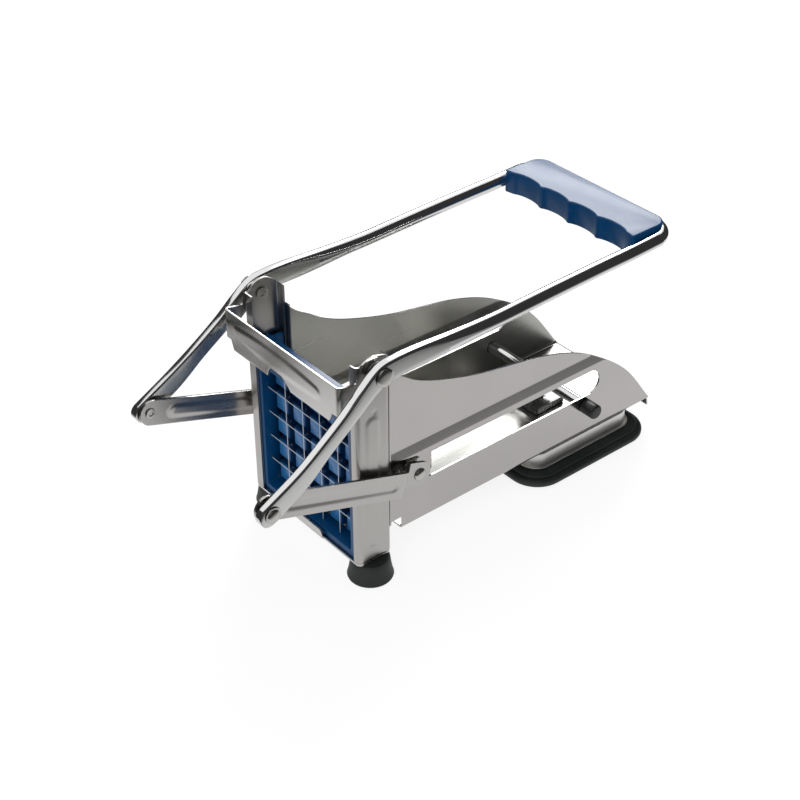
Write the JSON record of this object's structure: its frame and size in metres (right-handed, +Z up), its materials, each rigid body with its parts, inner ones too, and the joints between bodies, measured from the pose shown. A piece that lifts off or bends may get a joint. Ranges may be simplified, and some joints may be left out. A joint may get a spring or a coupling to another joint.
{
  "type": "french fry cutter",
  "caption": "Hand-lever french fry cutter: a blade grid in a lift-out cassette, a slotted chute with a fingered pusher, a bent-tube handle on links and a suction foot.",
  "frame": {"origin": "centre of the suction pad's underside, on the table", "axes": "+Z up, +X from the blade end to the grip end, +Y to the left as seen from the blade end"},
  "size_m": [0.2891, 0.1184, 0.1436],
  "materials": {
    "bright_steel": "bright, smooth",
    "chromed_tube": "polished",
    "blade_steel": "ground",
    "zinc_fastener": "zinc plated",
    "navy_plastic": "satin gloss",
    "black_rubber": "matte",
    "black_plastic": "matte"
  },
  "bodies": {
    "frame": {"chute": "bright_steel", "post_left": "bright_steel", "post_right": "bright_steel", "front_cross_member": "bright_steel", "front_foot_left": "black_rubber", "front_foot_right": "black_rubber", "foot_screw_left": "zinc_fastener", "foot_screw_right": "zinc_fastener", "pivot_bolt_left": "zinc_fastener", "pivot_bolt_right": "zinc_fastener", "pivot_spacer_left": "zinc_fastener", "pivot_spacer_right": "zinc_fastener", "suction_housing": "bright_steel", "suction_pad": "black_rubber", "stud_guide": "black_plastic"},
    "cassette": {"cassette_frame": "navy_plastic", "blade_upright_1": "blade_steel", "blade_upright_2": "blade_steel", "blade_upright_3": "blade_steel", "blade_upright_4": "blade_steel", "blade_level_1": "blade_steel", "blade_level_2": "blade_steel", "blade_level_3": "blade_steel", "blade_level_4": "blade_steel"},
    "pusher": {"pusher_block": "navy_plastic", "pusher_plate": "bright_steel", "pusher_pin_left": "zinc_fastener", "pusher_pin_right": "zinc_fastener", "pusher_screw_1": "zinc_fastener", "pusher_screw_2": "zinc_fastener", "pusher_screw_3": "zinc_fastener", "pusher_screw_4": "zinc_fastener"},
    "handle": {"handle_tube": "chromed_tube", "handle_grip": "navy_plastic", "crank_rivet_left": "zinc_fastener", "crank_rivet_right": "zinc_fastener"},
    "left_link": {"link_left": "bright_steel", "link_rivet_tail_left": "zinc_fastener"},
    "right_link": {"link_right": "bright_steel", "link_rivet_tail_right": "zinc_fastener"},
    "strap": {"cassette_strap": "bright_steel"},
    "suction_shaft": {"cam_shaft": "zinc_fastener", "shaft_cap": "black_plastic", "suction_lever": "black_plastic", "lever_nut": "zinc_fastener"},
    "suction_stud": {"suction_stud": "zinc_fastener"}
  },
  "joints": [
    {"name": "handle_pivot", "type": "hinge", "parent": "frame", "child": "handle", "pos_m": [-0.1582, 0, 0.132], "axis": [0, -1, 0], "range_deg": [0, 90]},
    {"name": "pusher_slide", "type": "slide", "parent": "frame", "child": "pusher", "axis": [1, 0, 0], "range_m": [0, 0.12057]},
    {"name": "left_link_hinge", "type": "hinge", "parent": "pusher", "child": "left_link", "pos_m": [-0.1255, 0, 0.0509], "axis": [0, -1, 0], "range_deg": [0, 11.94]},
    {"name": "right_link_hinge", "type": "hinge", "parent": "pusher", "child": "right_link", "pos_m": [-0.1255, 0, 0.0509], "axis": [0, -1, 0], "range_deg": [0, 11.94]},
    {"name": "cassette_slide", "type": "slide", "parent": "frame", "child": "cassette", "axis": [0, 0, 1], "range_m": [0, 0.1]},
    {"name": "strap_swing", "type": "hinge", "parent": "frame", "child": "strap", "pos_m": [-0.1582, 0, 0.132], "axis": [0, 1, 0], "range_deg": [0, 180]},
    {"name": "suction_turn", "type": "hinge", "parent": "frame", "child": "suction_shaft", "pos_m": [-0.002, 0, 0.037], "axis": [0, -1, 0], "range_deg": [0, 90.01]},
    {"name": "stud_lift", "type": "slide", "parent": "frame", "child": "suction_stud", "axis": [0, 0, 1], "range_m": [0, 0.002]}
  ],
  "couplings": [
    {"joint": "pusher_slide", "follows": "handle_pivot", "m_per_rad": 0.07675},
    {"joint": "left_link_hinge", "follows": "handle_pivot", "ratio": 0.13257},
    {"joint": "right_link_hinge", "follows": "handle_pivot", "ratio": 0.13257},
    {"joint": "suction_turn", "follows": "stud_lift", "rad_per_m": 785.4}
  ]
}
